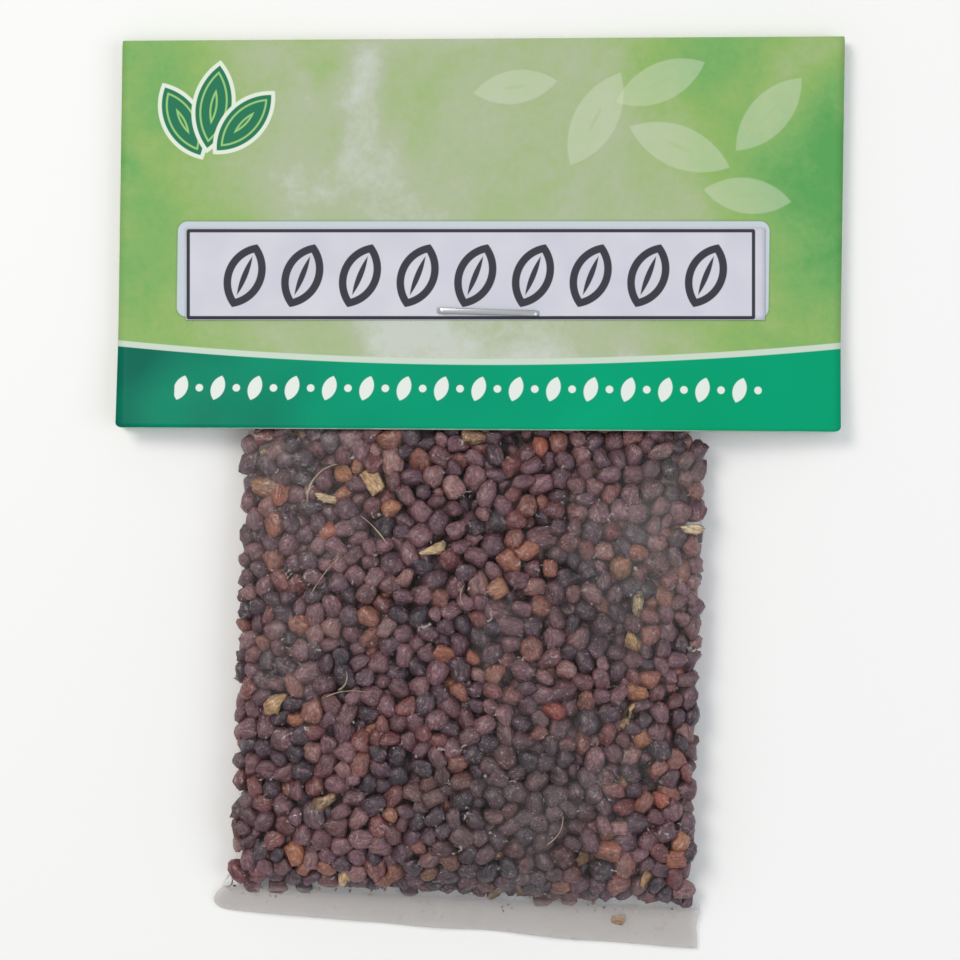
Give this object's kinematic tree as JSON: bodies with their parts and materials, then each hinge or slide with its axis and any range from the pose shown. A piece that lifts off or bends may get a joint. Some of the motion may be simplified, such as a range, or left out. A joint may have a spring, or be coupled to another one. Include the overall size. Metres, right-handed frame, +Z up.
{
  "type": "stapled sachet of cardamom seeds",
  "caption": "Clear film sachet full of dark cardamom seeds, closed by a folded green printed card stapled over its neck, lying on its back.",
  "frame": {"origin": "under the middle of the whole sachet, on the surface that it lies on", "axes": "+Z up out of the printed front, +Y along the sachet towards the card's fold, +X to the right as the front is read"},
  "size_m": [0.0903, 0.1137, 0.009],
  "materials": {
    "printed_card": "satin",
    "label_paper": "matte",
    "staple_wire": "satin",
    "clear_film": "gloss",
    "cardamom_seed": "matte"
  },
  "bodies": {
    "root": {"header_card": "printed_card", "name_label": "label_paper", "staple": "staple_wire", "bag_film": "clear_film", "seed_fill": "cardamom_seed"}
  },
  "joints": []
}
